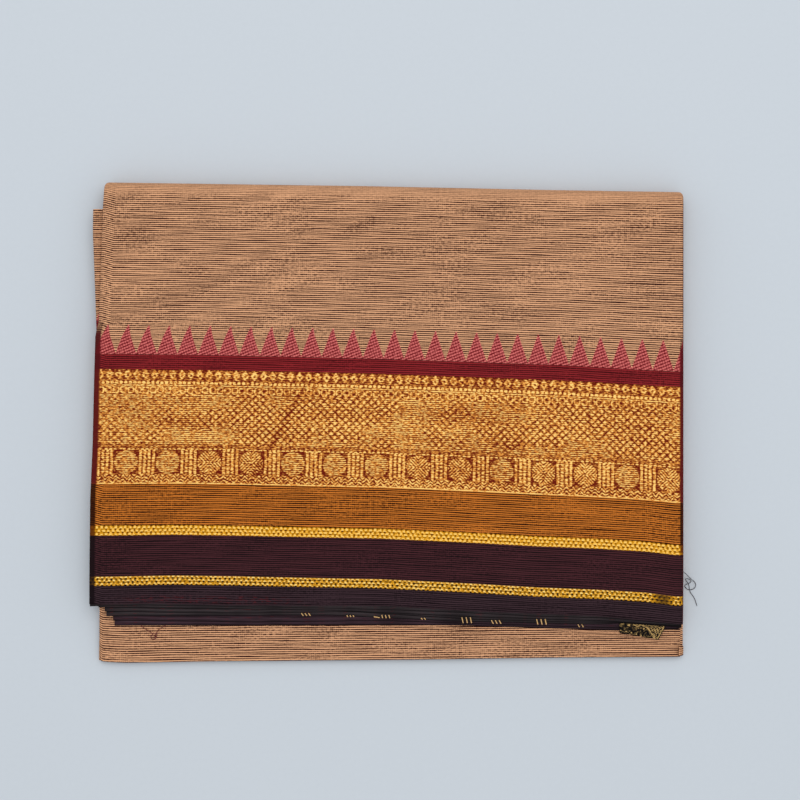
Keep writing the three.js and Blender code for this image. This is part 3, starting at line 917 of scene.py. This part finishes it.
class SAREE_OT_lower_cloth(bpy.types.Operator):
    """Make the stretch below the selvedges, which turns over the middle fold at the bottom edge"""

    bl_idname = "saree.lower_cloth"
    bl_label = "Lower Cloth"

    def execute(self, context):
        curl, curl_drop = 2.4, 0.9
        notch, notch_width = 2.4, 3.4
        radius = OUTER_WALL / 2
        under, length = 10.0, 54.0
        front_from = under + NOSE_TURN
        right = BACK_RIGHT_X - RIGHT_FOLD["reach"] + 1.0
        width = 362.0

        def place(u, v):
            across = u / width
            x0 = blend(-FRONT_RIGHT_X, right, across)
            end = between_rows(BOTTOM_EDGE, x0) + radius + notch * max(1 - u / notch_width, 0.0) ** 2
            if v < under:
                y, depth = end + under - v, SLIT + OUTER_WALL
            elif v < front_from:
                angle = math.pi * (v - under) / NOSE_TURN
                y = end - radius * math.sin(angle)
                depth = SLIT + radius * (1 + math.cos(angle))
            else:
                y = blend(end, LOWER_CLOTH_TOP_Y, (v - front_from) / length)
                depth = SLIT
            x = blend(between_rows(BACK_LEFT_EDGE, y), right, across)
            past = max(1 - u / curl, 0.0)
            drop = curl_drop * (1 - math.sqrt(1 - past * past))
            return in_frame(x, y, height_at("back", depth, x, y) - drop)

        columns = knots(0.0, (curl, 5), (width, 72))
        rows = knots(0.0, (under, 2), (front_from, 8), (front_from + length, 24))
        material = plain_material("lower_stretch_cotton", cloth_settings().lower_pitch / MM)
        piece = cloth_sheet("lower_cloth", material, columns, rows, place, LOWER_CLOTH_UV_FROM)
        declare_sheet(piece, "plain_stretch_cotton", "lower_stretch", width, front_from + length)
        return {"FINISHED"}


class SAREE_OT_selvedge_plies(bpy.types.Operator):
    """Make the stepped dark selvedges below the front one"""

    bl_idname = "saree.selvedge_plies"
    bl_label = "Selvedge Plies"

    def execute(self, context):
        grey = selvedge_material("dark_selvedge_cotton", colours().selvedge_light)
        plum = selvedge_material("third_selvedge_cotton", colours().third_light)
        length = 26.0
        for number, ply in enumerate(SELVEDGE_PLIES, 1):
            width = ply["right"] - ply["left"]

            def place(u, v, ply=ply):
                x = ply["left"] + u
                y = blend(between_rows(ply["edge"], x), SELVEDGE_TUCK_Y, v / length)
                return in_frame(x, y, height_at("front", ply["depth"], x, y))

            columns = knots(0.0, (width, 72))
            rows = knots(0.0, (length, 8))
            uv_from = (ply["left"] + FRONT_RIGHT_X, 0.0)
            material = plum if ply["node"] == "third_inner_selvedge" else grey
            piece = cloth_sheet(f"selvedge_ply_{number}", material, columns, rows, place, uv_from)
            declare_sheet(piece, "dark_selvedge", ply["node"], width, length)
        return {"FINISHED"}


class SAREE_OT_left_inner_cloth(bpy.types.Operator):
    """Make the fold of inner plies that stands out at the top of the left side"""

    bl_idname = "saree.left_inner_cloth"
    bl_label = "Left Inner Cloth"

    def execute(self, context):
        turn = fold_length(INNER_FOLD)
        lip = INNER_FOLD_TUCK - INNER_FOLD["reach"]
        length = INNER_FOLD["top"] - INNER_FOLD["bottom"]

        def place(u, v):
            y = INNER_FOLD["bottom"] + v
            if u < lip:
                out, depth = u - lip, INNER_FOLD["low"]
            elif u > lip + turn:
                out, depth = lip + turn - u, INNER_FOLD["high"]
            else:
                out, depth = fold_turn(INNER_FOLD, (u - lip) / turn)
            x = between_rows(INNER_FOLD_LEFT_EDGE, y) + INNER_FOLD["reach"] - out
            return in_frame(x, y, height_at("front", depth, x, y))

        columns = knots(0.0, (lip, 2), (lip + turn, 10), (2 * lip + turn, 2))
        rows = knots(0.0, (length, 56))
        piece = cloth_sheet("left_inner_cloth", striped_border(), columns, rows, place, INNER_FOLD_UV_FROM)
        declare_sheet(piece, "striped_cotton", "left_inner_fold", 2 * lip + turn, length)
        return {"FINISHED"}


class SAREE_OT_end_corner(bpy.types.Operator):
    """Make the brocaded corner of the end piece, which hangs out below the selvedges"""

    bl_idname = "saree.end_corner"
    bl_label = "End Corner"

    def execute(self, context):
        width, length = 28.0, 10.5
        ripple, ripple_turns = 0.12, 9.0

        def place(u, v):
            across = u / width
            along = (1 - v / length) * (len(CORNER_ROWS) - 1)
            index = min(int(along), len(CORNER_ROWS) - 2)
            first, second = CORNER_ROWS[index], CORNER_ROWS[index + 1]
            share = along - index
            points = []
            for row in (first, second):
                points.append([blend(a, b, across) for a, b in zip(row["left"], row["right"])])
            x, y = (blend(a, b, share) for a, b in zip(*points))
            height = blend(first["height"], second["height"], share)
            wave = ripple * math.sin(across * ripple_turns) * (1 - v / length)
            return in_frame(x, y, middle_plane(y) + height + wave)

        columns = knots(0.0, (width, 14))
        rows = knots(0.0, (length, 8))
        piece = cloth_sheet("end_corner_cloth", corner_material(), columns, rows, place)
        declare_sheet(piece, "gold_zari", "end_corner", width, length)
        return {"FINISHED"}


# Hidden plies: a group whose edge shows as one, set-backs of their front, and where they thin out
HIDDEN_GROUP = 0.62
SETBACK = 1.5
SETBACK_LEFT = 8.5
FRONT_THIN_TO = 18.5
TOP_THICK_FROM = 246.5
BACK_THIN_FROM = BACK_FROM + 236.5


def layer_levels():
    """Depths through the hidden plies, with their edges' lips, noses and random set-backs."""
    draw = random.Random(7)
    count = round((CORE_DEPTH - SLIT) / HIDDEN_GROUP)
    step = (CORE_DEPTH - SLIT) / count
    levels = []
    for index in range(count):
        low = SLIT + index * step
        back = draw.uniform(0.0, 1.6)
        for share, rounded in ((0.0, 0.5), (0.2, 0.12), (0.5, 0.0), (0.8, 0.12)):
            levels.append({"depth": low + share * step, "back": back + rounded, "end": back * 1.3 + rounded})
    levels.append({"depth": CORE_DEPTH, "back": 2.0, "end": 2.0})
    return levels


class SAREE_OT_hidden_plies(bpy.types.Operator):
    """Make the plies that don't show, as one solid whose edges are layered"""

    bl_idname = "saree.hidden_plies"
    bl_label = "Hidden Plies"

    def execute(self, context):
        levels = layer_levels()
        front_start = 1.5
        back_end = NOSE_FROM + BACK_FOLD_RECESS
        columns = knots(0.0, (1.0, 48))
        rows = knots(
            front_start, (FRONT_THIN_TO - 0.5, 4), (FRONT_THIN_TO + 0.5, 1), (TOP_THICK_FROM - 0.5, 30),
            (TOP_THICK_FROM + 0.5, 1), (FRONT_LENGTH, 2), (BACK_FROM, 14), (BACK_THIN_FROM - 0.5, 14),
            (BACK_THIN_FROM + 0.5, 1), (back_end, 10),
        )
        depths = list(range(len(levels)))

        def thinned(v, depth):
            """Depth where the plies share the space between the stretches that show."""
            share = (depth - SLIT) / (CORE_DEPTH - SLIT)
            if v < FRONT_THIN_TO:
                return blend(FIXED_INNER, FIXED_OUTER, share)
            if v > BACK_THIN_FROM:
                return blend(SLIT + OUTER_WALL + GAP, CORE_DEPTH - 0.1, share)
            return depth

        def left_inset(v, level):
            clear = LEFT_FOLD["reach"] + 3 * GAP
            if v > FRONT_LENGTH + TOP_TURN / 2:
                return clear if level["depth"] > BACK_DROP["height"] else 1.0 + level["back"]
            if FRONT_THIN_TO < v < TOP_THICK_FROM and level["depth"] < LEFT_FOLD["low"]:
                return INNER_FOLD_TUCK + 2.0
            return clear + level["back"] * 0.5

        def right_inset(depth):
            middle, rise = middle_and_rise(RIGHT_FOLD)
            off = (depth - middle) / (rise - OUTER_WALL)
            clear = RIGHT_FOLD["reach"] + GAP
            if abs(off) > 0.85:
                return clear
            return clear - (RIGHT_FOLD["reach"] - OUTER_WALL) * math.sqrt(1 - off * off)

        def place(across, v, index):
            level = levels[int(index)]
            depth = thinned(v, level["depth"])
            inset = blend(left_inset(v, level), -right_inset(depth), across)
            point = along_pack(min(v, NOSE_FROM - 0.001), across, inset, depth)
            point.y -= max(v - NOSE_FROM, 0.0) * MM
            if v <= front_start:
                x = point.x / MM - FRAME_SHIFT[0]
                stay = blend(SETBACK_LEFT, SETBACK, smooth(x, -184.5, -154.5))
                y = between_rows(SELVEDGE_PLIES[3]["edge"], x) + stay + level["end"]
                point.y = (y + FRAME_SHIFT[1]) * MM
            if v >= back_end - 0.001:
                point.y += level["end"] * MM
            return point

        bm = bmesh.new()
        spot = bm.verts.layers.float_vector.new("spot")
        axes = (columns, rows, depths)
        for fixed in range(3):
            a, b = [axis for axis in range(3) if axis != fixed]
            for end in (0, -1):
                for vert in add_grid(bm, axes[a], axes[b], spot):
                    values = [0.0, 0.0, 0.0]
                    values[a], values[b], values[fixed] = vert[spot].x, vert[spot].y, axes[fixed][end]
                    vert[spot] = Vector(values)
        for vert in bm.verts:
            vert.co = place(*vert[spot])
        bmesh.ops.remove_doubles(bm, verts=bm.verts, dist=1e-6)
        bmesh.ops.recalc_face_normals(bm, faces=bm.faces)
        piece = finish_mesh(
            bm, "hidden_plies", striped_border(),
            lambda s: ((s.x * FLAT_WIDTH + 40 + s.z * 0.3) * MM, (s.y + 0.001) * MM),
        )
        declare(piece, "hidden_plies", "hidden_layers")
        return {"FINISHED"}


# Threads


def thread_tube(name, points, radius, material):
    """A thread along a smooth line through points in metres, as a mesh."""
    curve = bpy.data.curves.new(name, "CURVE")
    curve.dimensions = "3D"
    curve.bevel_depth = radius
    curve.bevel_resolution = 2
    curve.use_fill_caps = True
    spline = curve.splines.new("NURBS")
    spline.points.add(len(points) - 1)
    for point, place in zip(spline.points, points):
        point.co = (*place, 1.0)
    spline.use_endpoint_u = True
    spline.order_u = 3
    spline.resolution_u = 6
    drawn = bpy.data.objects.new(name + "_curve", curve)
    mesh = bpy.data.meshes.new_from_object(drawn)
    mesh.name = name
    bpy.data.objects.remove(drawn)
    mesh.materials.append(material)
    return new_object(name, mesh)


# Stray threads, as x, y and the height above what they lie on
MAROON_THREAD = [
    (-153.0, -127.0, 1.2), (-151.5, -129.0, 0.4), (-149.1, -130.3, 0.35), (-145.4, -132.8, 0.4),
    (-147.6, -134.4, 0.35), (-146.6, -136.2, 0.5), (-144.2, -136.0, 0.7), (-143.6, -134.0, 0.4),
    (-146.2, -133.6, 0.8), (-145.8, -131.9, 0.9), (-143.0, -132.4, 0.5), (-143.6, -134.6, 0.9),
    (-145.2, -135.6, 0.4), (-143.4, -131.4, 0.4), (-141.9, -129.6, 0.35), (-139.7, -128.5, 0.4),
    (-137.2, -126.9, 1.2),
]
DARK_THREAD = [
    (184.0, -92.5, 6.0), (187.2, -94.6, 4.0), (190.4, -97.9, 1.5), (194.9, -101.6, 0.8),
    (193.9, -105.0, 0.4), (190.1, -106.0, 0.4), (187.2, -103.6, 0.6), (188.4, -102.0, 1.0),
    (192.0, -100.8, 0.9), (190.6, -98.6, 1.2), (187.0, -98.6, 1.6), (190.2, -101.6, 0.6),
    (190.6, -106.4, 0.4), (192.4, -109.1, 0.4), (194.1, -111.4, 0.4), (195.3, -115.8, 0.3),
]


class SAREE_OT_stray_threads(bpy.types.Operator):
    """Make the loose threads on the lower stretch and past the right edge"""

    bl_idname = "saree.stray_threads"
    bl_label = "Stray Threads"

    def execute(self, context):
        maroon = thread_material("maroon_thread", colour(104, 34, 32), roughness=0.7)
        dark = thread_material("dark_thread", colour(52, 42, 50), roughness=0.7)
        radius = 0.0002
        on_cloth = [in_frame(x, y, height_at("back", SLIT, x, y) + up) for x, y, up in MAROON_THREAD]
        on_floor = [in_frame(x, y, up) for x, y, up in DARK_THREAD]
        declare(thread_tube("maroon_thread", on_cloth, radius, maroon), "striped_cotton")
        declare(thread_tube("dark_thread", on_floor, radius, dark), "dark_selvedge")
        return {"FINISHED"}


# Gold stitches on the dark plies, a group a row: the middle's x and y, strokes, pitch, half height and lean
ABOVE_ALL = 40.0
GOLD_MARKS = [
    (-49.9, -119.9, 3, 2.2, 0.8, 0.6), (-22.2, -120.9, 3, 1.9, 0.5, 0.3), (-5.8, -121.6, 1, 0.0, 0.3, 1.8),
    (-0.2, -121.2, 3, 2.2, 1.0, 0.3), (23.2, -122.6, 2, 1.9, 0.4, 0.5), (50.2, -123.4, 3, 2.6, 1.8, 0.4),
    (68.6, -124.6, 3, 2.4, 1.1, 0.6), (96.7, -124.4, 3, 2.6, 1.7, 0.4), (121.4, -127.2, 2, 2.4, 0.9, 0.5),
]


class SAREE_OT_gold_marks(bpy.types.Operator):
    """Make the short gold stitches that surface on the dark plies"""

    bl_idname = "saree.gold_marks"
    bl_label = "Gold Marks"

    def execute(self, context):
        depsgraph = context.evaluated_depsgraph_get()
        cloths = [f"selvedge_ply_{number}" for number in range(1, len(SELVEDGE_PLIES) + 1)] + ["lower_cloth"]
        trees = [BVHTree.FromObject(bpy.data.objects[name], depsgraph) for name in cloths]
        material = thread_material("gold_stitch", colour(220, 178, 118), roughness=0.6, metallic=0.3)
        radius = 0.00034
        number = 0
        for x, y, count, pitch, half, lean in GOLD_MARKS:
            for index in range(count):
                middle = x + (index - (count - 1) / 2) * pitch
                number += 1
                points = [self.on_top(trees, middle + side * lean, y - side * half) for side in (-1, 0, 1)]
                height = max(point.z for point in points)
                points = [(point.x, point.y, height) for point in points]
                declare(thread_tube(f"gold_mark_{number}", points, radius, material), "gold_zari")
        return {"FINISHED"}

    @staticmethod
    def on_top(trees, x, y):
        """The point just above the topmost cloth there."""
        start = in_frame(x, y, ABOVE_ALL)
        hits = [tree.ray_cast(start, Vector((0, 0, -1)))[0] for tree in trees]
        heights = [hit.z for hit in hits if hit]
        if not heights:
            raise RuntimeError("no cloth under a gold mark")
        return Vector((start.x, start.y, max(heights) + 0.1 * MM))


# Stage, in metres
FLOOR_HALF_SIZE = 3.0
SKY_COLOUR = (0.97, 0.985, 1.0, 1.0)
LAMP_SIZE = 1.4
LAMP_PLACE = Vector((0.15, 0.7, 1.7))
CAMERA_X, CAMERA_Y = 0.0079, 0.0139
LENS = 85.9


class SAREE_OT_stage(bpy.types.Operator):
    """Make the plain floor, the soft light and the camera above the pack"""

    bl_idname = "saree.stage"
    bl_label = "Stage"

    def execute(self, context):
        scene = context.scene
        settings = scene.saree_stage

        bm = bmesh.new()
        bmesh.ops.create_grid(bm, x_segments=2, y_segments=2, size=FLOOR_HALF_SIZE)
        mesh = bpy.data.meshes.new("floor")
        bm.to_mesh(mesh)
        bm.free()
        finish = {"darkest": 0.985, "lightest": 1.015, "scale": 350.0, "roughness": 0.9, "specular": 0.1}
        mesh.materials.append(mottled_material("pale_floor", settings.floor_colour, **finish))
        new_object("floor", mesh)

        world = bpy.data.worlds.new("even_light")
        world.use_nodes = True
        background = world.node_tree.nodes["Background"]
        background.inputs["Color"].default_value = SKY_COLOUR
        background.inputs["Strength"].default_value = settings.sky_strength
        scene.world = world

        lamp = bpy.data.lights.new("soft_lamp", "AREA")
        lamp.shape = "SQUARE"
        lamp.size = LAMP_SIZE
        lamp.energy = settings.lamp_power
        lamp_object = new_object("soft_lamp", lamp)
        lamp_object.location = LAMP_PLACE
        lamp_object.rotation_euler = LAMP_PLACE.to_track_quat("Z", "Y").to_euler()

        camera = bpy.data.cameras.new("overhead_camera")
        camera.sensor_width = 36.0
        camera.lens = LENS
        scene.camera = new_object("overhead_camera", camera)
        scene.camera.location = (CAMERA_X, CAMERA_Y, settings.camera_height)

        scene.view_settings.view_transform = "Standard"
        scene.view_settings.look = "None"
        return {"FINISHED"}


OPERATORS = (
    SAREE_OT_hidden_plies,
    SAREE_OT_outer_cloth,
    SAREE_OT_lower_cloth,
    SAREE_OT_selvedge_plies,
    SAREE_OT_left_inner_cloth,
    SAREE_OT_end_corner,
    SAREE_OT_gold_marks,
    SAREE_OT_stray_threads,
    SAREE_OT_stage,
)


class SAREE_PT_panel(bpy.types.Panel):
    """Lists the saree's sizes, colours and operators"""

    bl_label = "Folded Saree"
    bl_idname = "SAREE_PT_panel"
    bl_space_type = "VIEW_3D"
    bl_region_type = "UI"
    bl_category = "Saree"

    def draw(self, context):
        layout = self.layout
        for settings, group in SETTINGS.items():
            column = layout.column(align=True)
            for name in group.__annotations__:
                column.prop(getattr(context.scene, settings), name)
        for operator in OPERATORS:
            layout.operator(operator.bl_idname)


SETTINGS = {
    "saree_cloth": SareeClothSettings,
    "saree_colours": SareeColourSettings,
    "saree_stage": SareeStageSettings,
}


def register():
    for group in SETTINGS.values():
        bpy.utils.register_class(group)
    for operator in OPERATORS:
        bpy.utils.register_class(operator)
    bpy.utils.register_class(SAREE_PT_panel)
    for name, group in SETTINGS.items():
        setattr(bpy.types.Scene, name, PointerProperty(type=group))


def unregister():
    for name in SETTINGS:
        delattr(bpy.types.Scene, name)
    bpy.utils.unregister_class(SAREE_PT_panel)
    for operator in reversed(OPERATORS):
        bpy.utils.unregister_class(operator)
    for group in reversed(SETTINGS.values()):
        bpy.utils.unregister_class(group)


def main():
    register()
    bpy.ops.saree.hidden_plies()
    bpy.ops.saree.outer_cloth()
    bpy.ops.saree.lower_cloth()
    bpy.ops.saree.selvedge_plies()
    bpy.ops.saree.left_inner_cloth()
    bpy.ops.saree.end_corner()
    bpy.ops.saree.gold_marks()
    bpy.ops.saree.stray_threads()
    bpy.ops.saree.stage()


if __name__ == "__main__":
    main()
